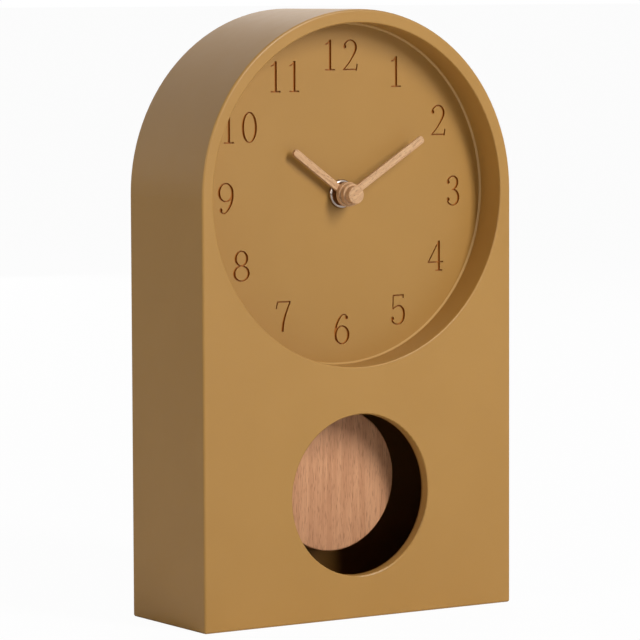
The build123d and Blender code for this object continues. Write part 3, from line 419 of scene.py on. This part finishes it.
def metal(name, colour, tint, gloss, haze, scratch, depth):
    """Metal with a cloudy gloss, a slight change of tint and scratches of a size and depth."""
    material, shader, place = start_finish(name, Metallic=1.0)
    clouds = noise(place, cloud_size, detail=4.0)
    lines = noise(stretched(place, scratch))
    feed(
        shader,
        Base_Color=blend(step(clouds, *cloud_span), colour, tint),
        Roughness=gloss + haze * clouds + haze * line_haze * lines,
        Normal=bump(lines, depth),
    )
    return material


nickel = metal("nut_plating", linear(188, 174, 162), linear(158, 144, 134),
               gloss=0.10, haze=0.08, scratch=(2.0, 0.4, 2.0), depth=0.001)
brass = metal("turned_brass", linear(214, 178, 108), linear(190, 150, 84),
              gloss=0.22, haze=0.15, scratch=(3.0, 0.12, 3.0), depth=0.004)
steel = metal("plated_steel", linear(188, 189, 188), linear(164, 165, 166),
              gloss=0.26, haze=0.18, scratch=(0.3, 0.3, 4.0), depth=0.004)
magnet_plating = metal("magnet_plating", linear(176, 174, 170), linear(150, 148, 145),
                       gloss=0.18, haze=0.12, scratch=(1.0, 1.0, 1.0), depth=0.002)
dress(nickel, "ring_nut", "dial_washer")
dress(brass, "threaded_bushing", "minute_arbor", "minute_bush", "hour_bush")
dress(steel, "dial_screws", "rear_screws", "cover_screws", "motor_pinion", "pivot_pin",
      "pendulum_rod", "positive_contact", "negative_contact", "quartz_crystal")
dress(magnet_plating, "hanger_magnet")

# %% [markdown]
# ## Plastics, rubber and the rest of the movement
# The movement is a black moulding with a fine spark-eroded texture, and the wheels are natural
# white plastic with a soft gloss. Small mouldings differ mostly in the size and height of their
# texture, so one function makes them all, the rubber washer and the lacquered board too.

# %% Plastic finishes
handled_size, handled_span, handled_haze = 14.0, (0.45, 0.8), 0.14


def moulding(name, colour, worn, gloss, texture, depth):
    """Plastic with a fine texture, a cloudy gloss and a colour that pales where it was handled."""
    material, shader, place = start_finish(name, IOR=1.5)
    clouds = noise(place, handled_size, detail=4.0)
    feed(
        shader,
        Base_Color=blend(step(clouds, *handled_span), colour, worn),
        Roughness=gloss + handled_haze * clouds,
        Normal=bump(noise(place, texture, detail=3.0, roughness=0.6), depth),
    )
    return material


black_moulding = moulding("black_moulding", linear(30, 30, 31), linear(40, 40, 41),
                          gloss=0.42, texture=0.35, depth=0.02)
white_moulding = moulding("natural_wheel_plastic", linear(226, 224, 214), linear(214, 211, 198),
                          gloss=0.28, texture=1.5, depth=0.006)
washer_rubber = moulding("washer_rubber", linear(24, 24, 24), linear(40, 39, 38),
                         gloss=0.72, texture=0.5, depth=0.03)
green_board = moulding("board_lacquer", linear(30, 92, 52), linear(40, 110, 62),
                       gloss=0.3, texture=2.5, depth=0.01)
dress(black_moulding, "movement_front", "movement_rear", "motor_unit", "setting_knob",
      "pendulum_cover", "chip_cap")
dress(white_moulding, "centre_wheel", "hour_wheel", "intermediate_wheel", "setting_arbor",
      "coil_bobbin", "pendulum_hanger")
dress(washer_rubber, "rubber_washer")
dress(green_board, "circuit_board")

# %% [markdown]
# The battery is a plain cell in a printed sleeve: a dark body, a pale band towards the positive
# end and bare metal at both ends. The sleeve could be a mesh of its own, but it is thinner than
# paper, so colour and metal change on the one cell. The places are read along X, the length of
# the cell.

# %% Battery sleeve
band_start, positive_end, negative_end, print_fade = 12.0, 23.4, -24.2, 0.2
sleeve_dark, sleeve_pale = linear(52, 62, 74), linear(196, 198, 196)
bare_metal = linear(190, 190, 188)
sleeve_gloss, sleeve_haze, haze_size = 0.26, 0.12, 6.0
wrinkle_size, wrinkle_depth = 2.5, 0.01

cell_sleeve, shader, place = start_finish("cell_sleeve", IOR=1.5)
along = axis_of(place, "X")
band = step(along, band_start, band_start + print_fade)
bare = step(along, positive_end, positive_end + print_fade)
bare = bare + step(negative_end - along, 0.0, print_fade)
feed(
    shader,
    Base_Color=blend(bare, blend(band, sleeve_dark, sleeve_pale), bare_metal),
    Metallic=bare,
    Roughness=sleeve_gloss + sleeve_haze * noise(place, haze_size, detail=3.0),
    Normal=bump(noise(place, wrinkle_size), wrinkle_depth),
)
dress(cell_sleeve, "battery")

# %% [markdown]
# The pendulum's drive coil is wound from enamelled copper wire. Its turns catch the light one by
# one. Noise that is short along the coil's axis and long across it stands for that with lighter
# and darker turns, which are painted highlight and painted shade.

# %% Coil wire
# lighter and darker turns: painted highlight and painted shade
copper_turn_shade, copper_turn_highlight = linear(150, 74, 40), linear(206, 120, 72)
turn_size, turn_span, turn_depth = (40.0, 0.16, 40.0), (0.35, 0.65), 0.05
copper_gloss, copper_haze = 0.3, 0.15

coil_wire, shader, place = start_finish("coil_wire", Metallic=1.0)
turns = noise(stretched(place, turn_size), detail=0.0)
feed(
    shader,
    Base_Color=blend(step(turns, *turn_span), copper_turn_shade, copper_turn_highlight),
    Roughness=copper_gloss + copper_haze * turns,
    Normal=bump(turns, turn_depth),
)
dress(coil_wire, "drive_coil")

# %% [markdown]
# ## Pieces that repeat or follow a path
# Screws repeat, and springs, windings and arrows follow a path. Geometry Nodes suit both: a tree
# makes one shape from a few named sizes, and puts it on every point of a carrier mesh. The class
# for finishes wraps these sockets too, so the shapes that trees share get short names as well.

# %% Shapes for trees
def vector(x, y, z):
    """A vector from three parts, of which at least one is a value."""
    value = next(part for part in (x, y, z) if isinstance(part, Value))
    return value.node("ShaderNodeCombineXYZ", {}, {"X": x, "Y": y, "Z": z})


def moved(shape, place, turn=unturned):
    """A shape after a turn and then a move."""
    sockets = {"Geometry": shape, "Translation": place, "Rotation": turn}
    return shape.node("GeometryNodeTransform", {}, sockets)


def raised(shape, height, turn=unturned):
    """A shape after a turn and then a move along Z."""
    return moved(shape, vector(0.0, 0.0, height), turn)


def join(first, *others):
    """Several shapes as one."""
    joined = first.node("GeometryNodeJoinGeometry")
    for shape in (first, *others):
        shape.tree.links.new(shape.socket, joined.socket.node.inputs[0])
    return joined


def block(x, y, z):
    """A block about the origin, with at least one of its three sizes a value."""
    size = vector(x, y, z)
    return size.node("GeometryNodeMeshCube", {}, {"Size": size})


def cylinder(value, radius, depth, sides, rings=1):
    """A cylinder about Z, in the tree of a value."""
    sockets = {"Vertices": sides, "Side Segments": rings, "Radius": radius, "Depth": depth}
    return value.node("GeometryNodeMeshCylinder", {}, sockets)


def spiral(value, steps, turns, start, end, height):
    """A curve that winds round Z from one radius to another, in the tree of a value."""
    sockets = {"Resolution": steps, "Rotations": turns, "Height": height}
    sockets.update({"Start Radius": start, "End Radius": end})
    return value.node("GeometryNodeCurveSpiral", {}, sockets)


def wire(path, radius, sides):
    """A wire along a curve, closed at both ends."""
    circle = {"Resolution": sides, "Radius": radius}
    profile = path.node("GeometryNodeCurvePrimitiveCircle", {}, circle)
    sockets = {"Curve": path, "Profile Curve": profile, "Fill Caps": True}
    return path.node("GeometryNodeCurveToMesh", {}, sockets)


print("trees share blocks, cylinders, spirals and wires")

# %% [markdown]
# `start_tree` gives a tree its named inputs. `grow` ends it with Realize Instances and Set
# Material, sets the sizes, runs it once and keeps the plain mesh, which rides the case. A
# modifier could stay live instead, but a plain mesh goes into any export. `middle` finds where a
# piece belongs from the box of the solid that it stands for.

# %% Running a tree
sharp_degrees = 35


def start_tree(name, *sizes):
    """A tree with a carrier mesh and one named input for each size. Returns it and the sizes."""
    tree = bpy.data.node_groups.new(name, "GeometryNodeTree")
    tree.interface.new_socket("Geometry", in_out="INPUT", socket_type="NodeSocketGeometry")
    tree.interface.new_socket("Geometry", in_out="OUTPUT", socket_type="NodeSocketGeometry")
    for size in sizes:
        tree.interface.new_socket(size, in_out="INPUT", socket_type="NodeSocketFloat")
    entry = tree.nodes.new("NodeGroupInput")
    return tree, *(Value(tree, entry.outputs[size]) for size in sizes)


def grow(name, tree, shape, material, points, turn, sizes):
    """Puts a tree's shape on points given in millimetres, and keeps the result as a plain mesh."""
    carrier = Value(tree, tree.nodes["Group Input"].outputs["Geometry"])
    sockets = {"Points": carrier, "Instance": shape, "Rotation": turn}
    placed = shape.node("GeometryNodeInstanceOnPoints", {}, sockets)
    plain = shape.node("GeometryNodeRealizeInstances", {}, {"Geometry": placed})
    finish = {"Geometry": plain, "Material": material}
    painted = shape.node("GeometryNodeSetMaterial", {}, finish)
    tree.links.new(painted.socket, tree.nodes.new("NodeGroupOutput").inputs[0])

    dots = bpy.data.meshes.new(name + "_points")
    dots.from_pydata([[part * mm for part in point] for point in points], [], [])
    piece = bpy.data.objects.new(name, dots)
    bpy.context.scene.collection.objects.link(piece)
    modifier = piece.modifiers.new("tree", "NODES")
    modifier.node_group = tree
    for item in tree.interface.items_tree:
        if item.name in sizes:
            modifier[item.identifier] = sizes[item.name] * mm
    evaluated = piece.evaluated_get(bpy.context.evaluated_depsgraph_get())
    mesh = bpy.data.meshes.new_from_object(evaluated)
    mesh.shade_smooth()
    mesh.set_sharp_from_angle(angle=radians(sharp_degrees))
    piece.modifiers.remove(modifier)
    piece.data = mesh
    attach(piece, "case")
    print(name, "has", len(mesh.polygons), "faces on", len(points), "points")
    return piece


def middle(box):
    """The middle of a box, in millimetres."""
    return [(low + high) / 2 / mm for low, high in zip(*box)]


print("meshes from trees keep edges over", sharp_degrees, "degrees sharp")

# %% [markdown]
# A screw stands on its seat with its head up the local Z axis. The head is a cylinder whose rings
# draw in towards the top, which rounds its edge, and a bar is cut out of it for the slot. The
# thread is a wire with three sides wound round the shank. Rod and point run a little into their
# neighbours, so that no two faces coincide.

# %% A slotted screw
screw_sizes = {"Shank radius": 1.45, "Shank length": 9.5, "Head radius": 2.8, "Head height": 1.8,
               "Slot": 0.7}
head_sides, head_rings, rod_sides, thread_sides, thread_steps = 48, 8, 24, 3, 16
dome_draw, dome_power = 0.3, 6.0
bar_reach, bar_height = 3.0, 2.0
core_share, rod_share, root_share = 0.82, 0.9, 0.2
point_share, point_base, point_end = 0.115, 0.96, 0.2
thread_share, thread_start = 0.82, 0.98


def screw_tree(name, turns):
    """The tree of a screw whose thread has this many turns, and the screw."""
    tree, shank, length, head, height, slot = start_tree(name, *screw_sizes)
    corner = {"Vector": shank.node("GeometryNodeInputPosition")}
    x, y, z = (shank.node("ShaderNodeSeparateXYZ", {}, corner, output=part) for part in range(3))
    rise = z + 0.5  # the blank is 1 high, with its middle at the origin
    reach = head * (1 - dome_draw * rise ** dome_power)
    blank = cylinder(shank, 1.0, 1.0, head_sides, head_rings)
    dome = {"Geometry": blank, "Position": vector(x * reach, y * reach, rise * height)}
    domed = shank.node("GeometryNodeSetPosition", {}, dome)
    bar = raised(block(head * bar_reach, slot, slot * bar_height), height)
    difference = {"operation": "DIFFERENCE", "solver": "EXACT"}
    slotted = shank.node("GeometryNodeMeshBoolean", difference, {"Mesh 1": domed, "Mesh 2": bar})

    core, depth, root = shank * core_share, length * rod_share, height * root_share
    rod = raised(cylinder(shank, core, depth + root, rod_sides), (root - depth) * 0.5)
    cone = {"Vertices": rod_sides, "Radius Top": core * point_end,
            "Radius Bottom": core * point_base, "Depth": length * point_share}
    low_end = depth * -thread_start
    point = raised(shank.node("GeometryNodeMeshCone", {}, cone), low_end, (pi, 0.0, 0.0))
    winding = spiral(shank, thread_steps, turns, core, core, length * thread_share)
    thread = raised(wire(winding, shank * (1 - core_share), thread_sides), low_end)
    return tree, join(slotted, rod, point, thread)


print("a screw takes", ", ".join(screw_sizes))

# %% [markdown]
# Four screws hold the rear panel, three the dial, and two smaller ones the pendulum's cover. All
# the heads look out of the back, so the points turn local Z to +Y. Each set is one piece, which
# takes the place of the plain cylinders in the solid model.

# %% Three sets of screws
towards_back = (-quarter, 0.0, 0.0)
thread_pitch = 1.15
rear_across, rear_seat, rear_heights = 84.6, 32.05, (6.9, 121.0)
boss_orbit, boss_seat, boss_angles = 96.3, -13.75, (-3 * pi / 4, -pi / 2, -pi / 4)
cover_across, cover_seat, cover_height = 15.0, 3.25, 151.9
small_sizes = {"Shank radius": 0.95, "Shank length": 6.0, "Head radius": 1.9, "Head height": 1.2,
               "Slot": 0.7}

rear_points = [(side * rear_across, rear_seat, height)
               for side in (-1, 1) for height in rear_heights]
dial_points = [(boss_orbit * cos(angle), boss_seat, axis_height + boss_orbit * sin(angle))
               for angle in boss_angles]
cover_points = [(side * cover_across, cover_seat, cover_height) for side in (-1, 1)]
screw_sets = {
    "rear": (rear_points, screw_sizes),
    "dial": (dial_points, screw_sizes),
    "cover": (cover_points, small_sizes),
}
for name, (points, sizes) in screw_sets.items():
    thread_turns = sizes["Shank length"] * thread_share / thread_pitch
    tree, screw = screw_tree(name + "_screw_tree", thread_turns)
    piece = grow(name + "_screw_set", tree, screw, steel, points, towards_back, sizes)
    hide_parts(name + "_screws")

# %% [markdown]
# The cell is held by a conical spring on a square plate, pressed almost flat. A coil could be
# modelled turn by turn, but one spiral whose radius shrinks as it rises needs only four sizes.

# %% Battery spring
spring_sizes = {"Plate": 10.0, "Plate thickness": 0.5, "Wide radius": 4.3, "Narrow radius": 2.4,
                "Wire": 0.28, "Rise": 0.36}
spring_turns, spring_steps, spring_sides = 3.0, 36, 8
tree, plate, thick, wide, narrow, gauge, rise = start_tree("spring_tree", *spring_sizes)
spring_path = spiral(plate, spring_steps, spring_turns, wide, narrow, rise)
spring_coil = raised(wire(spring_path, gauge, spring_sides), gauge)
sheet = raised(block(plate, plate, thick), thick * -0.5)
spring = join(sheet, spring_coil)

spring_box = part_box("negative_contact")
spring_place = middle(spring_box)
spring_place[0] = spring_box[0][0] / mm + spring_sizes["Plate thickness"]
towards_cell = (0.0, quarter, 0.0)
piece = grow("battery_spring", tree, spring, steel, [spring_place], towards_cell, spring_sizes)
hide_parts("negative_contact")

# %% [markdown]
# The pendulum's drive coil is a stack of flat spirals, one for each layer of wire, on points
# along the coil's axis. A real coil is one long wire that steps from layer to layer, but those
# steps lie hidden in the stack.

# %% Coil winding
winding_sizes = {"Inner radius": 2.61, "Outer radius": 5.82, "Wire": 0.165}
winding_turns, winding_steps, winding_sides = 9.5, 32, 6
coil_layers, layer_pitch = 5, 0.34
tree, inner, outer, gauge = start_tree("winding_tree", *winding_sizes)
layer_path = spiral(inner, winding_steps, winding_turns, inner, outer, 0.0)
layer_wire = wire(layer_path, gauge, winding_sides)

coil_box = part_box("drive_coil")
coil_front, coil_height = coil_box[0][1] / mm, middle(coil_box)[2]
layer_depths = [coil_front + layer_pitch * (layer + 0.5) for layer in range(coil_layers)]
coil_points = [(0.0, depth, coil_height) for depth in layer_depths]
piece = grow("coil_winding", tree, layer_wire, coil_wire, coil_points, towards_back, winding_sizes)
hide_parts("drive_coil")

# %% [markdown]
# The back of the movement carries raised marks. A plus and a minus stand over the ends of the
# cell. They are bars, sunk by half their height into the moulding, which closes their lower edge
# without a cut. The plus has a second bar that is a little lower, so that no two faces coincide.

# %% Plus and minus on the movement
back_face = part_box("movement_rear")[1][1] / mm
mark_across, mark_height = 21.0, 204.0
mark_sizes = {"Length": 4.6, "Width": 1.0, "Rise": 0.5}
level_rise, upright_rise = 2.0, 1.9
for name, side in (("minus_mark", -1), ("plus_mark", 1)):
    tree, length, width, rise = start_tree(name + "_tree", *mark_sizes)
    mark = block(length, width, rise * level_rise)
    if name == "plus_mark":
        mark = join(mark, block(width, length, rise * upright_rise))
    mark_place = (side * mark_across, back_face, mark_height)
    piece = grow(name, tree, mark, black_moulding, [mark_place], towards_back, mark_sizes)

# %% [markdown]
# An arrow runs round the setting knob. It is an arc swept by a four-sided section, which leaves a
# low ridge, and it ends in a three-sided prism that points along the arc.

# %% Arrow round the setting knob
arrow_sizes = {"Radius": 8.6, "Ridge": 0.5, "Point": 2.0}
arc_start, arc_sweep, arc_steps = radians(120), radians(150), 40
arc_end = arc_start + arc_sweep
ridge_sides, tip_sides = 4, 3
tree, radius, ridge, point = start_tree("arrow_tree", *arrow_sizes)
arc = {"Resolution": arc_steps, "Radius": radius, "Start Angle": arc_start,
       "Sweep Angle": arc_sweep}
line = wire(radius.node("GeometryNodeCurveArc", {"mode": "RADIUS"}, arc), ridge, ridge_sides)
tip_place = vector(radius * cos(arc_end), radius * sin(arc_end), 0.0)
tip = cylinder(radius, point, ridge * 2.0, tip_sides)
tip = moved(tip, tip_place, (0.0, 0.0, arc_end + quarter))

knob_place = middle(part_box("setting_knob"))
knob_place[1] = back_face
piece = grow("setting_arrow", tree, join(line, tip), black_moulding, [knob_place], towards_back,
             arrow_sizes)

# %% [markdown]
# ## The floor
# The picture has a plain white ground. The floor is a real pale surface that takes the clock's
# shadow; towards the camera it is lifted to white by Light Path, so the light on the clock can
# stay at a plain level. It is so wide that its edge lies near the horizon from every side.

# %% Floor
floor_reach, floor_squares = 60.0, 8
floor_lift = 0.965
paper_white, pure_white = (0.9, 0.9, 0.9, 1.0), (1.0, 1.0, 1.0, 1.0)

floor_mesh = bmesh.new()
bmesh.ops.create_grid(
    floor_mesh, x_segments=floor_squares, y_segments=floor_squares, size=floor_reach
)
floor_data = bpy.data.meshes.new("floor")
floor_mesh.to_mesh(floor_data)
floor_mesh.free()
floor = bpy.data.objects.new("floor", floor_data)
bpy.context.scene.collection.objects.link(floor)

floor_paper, shader, place = start_finish("floor_paper", Base_Color=paper_white, Roughness=0.9)
tree = place.tree
seen = Value(tree, tree.nodes.new("ShaderNodeLightPath").outputs["Is Camera Ray"])
white = seen.node("ShaderNodeEmission", {}, {"Color": pure_white, "Strength": 1.0})
paper = Value(tree, shader.outputs[0])
lifted = seen.node("ShaderNodeMixShader", {}, {0: seen * floor_lift, 1: paper, 2: white})
tree.links.new(lifted.socket, tree.nodes["Material Output"].inputs["Surface"])
floor.data.materials.append(floor_paper)
print("floor", 2 * floor_reach, "m wide")

# %% [markdown]
# ## The surroundings
# The surroundings give a weak even light from all sides. The camera and the polished metal should
# see the white ground there too, and Light Path tells their rays from those that light the clock,
# so the surroundings turn white for them alone.

# %% World
world_level = 0.04

world = bpy.data.worlds.new("studio")
world.use_nodes = True
bpy.context.scene.world = world
tree = world.node_tree
background = tree.nodes["Background"]
light_path = tree.nodes.new("ShaderNodeLightPath")
seen = Value(tree, light_path.outputs["Is Camera Ray"])
mirrored = Value(tree, light_path.outputs["Is Glossy Ray"])
through = Value(tree, light_path.outputs["Is Transmission Ray"])
shown = seen.node("ShaderNodeClamp", {}, {"Value": seen + mirrored + through})
background.inputs["Color"].default_value = pure_white
strength = world_level + (1 - world_level) * shown
tree.links.new(strength.socket, background.inputs["Strength"])
print("surroundings light at", world_level, "and show as white")

# %% [markdown]
# ## The lamps
# The shadows of the hands fall down and to the left, so the key lamp stands in front, above and a
# little to the right, tall and narrow. A weak lamp lights the left side of the case, and two
# behind light its edges and back. Area lamps give soft shadows, and their size sets how soft. The
# camera doesn't see them, and the low one behind stays out of reflections, where its square would
# show.

# %% Lamps
clock_middle = Vector((0.0, 0.0, 0.16))
lamp_distance = 2.2
# degrees to the viewer's right of the dial, degrees up, width and height in metres, watts
lamps = {
    "key": (16.0, 28.0, 0.45, 1.2, 39.2),
    "side": (-79.0, 19.0, 0.8, 0.8, 9.8),
    "rim": (145.0, 45.0, 0.8, 0.8, 9.5),
    "rear": (168.0, 12.0, 1.2, 1.2, 8.0),
}

for name, (turn, rise, width, height, power) in lamps.items():
    turn, rise = radians(turn), radians(rise)
    direction = Vector((sin(turn) * cos(rise), -cos(turn) * cos(rise), sin(rise)))
    lamp = bpy.data.lights.new(name, "AREA")
    lamp.shape = "RECTANGLE"
    lamp.size, lamp.size_y = width, height
    lamp.energy = power
    lamp_box = bpy.data.objects.new(name, lamp)
    lamp_box.location = clock_middle + direction * lamp_distance
    lamp_box.rotation_euler = direction.to_track_quat("Z", "Y").to_euler()
    lamp_box.visible_camera = False
    lamp_box.visible_glossy = name != "rear"
    bpy.context.scene.collection.objects.link(lamp_box)
    print(name, power, "W at", [round(v, 2) for v in lamp_box.location])
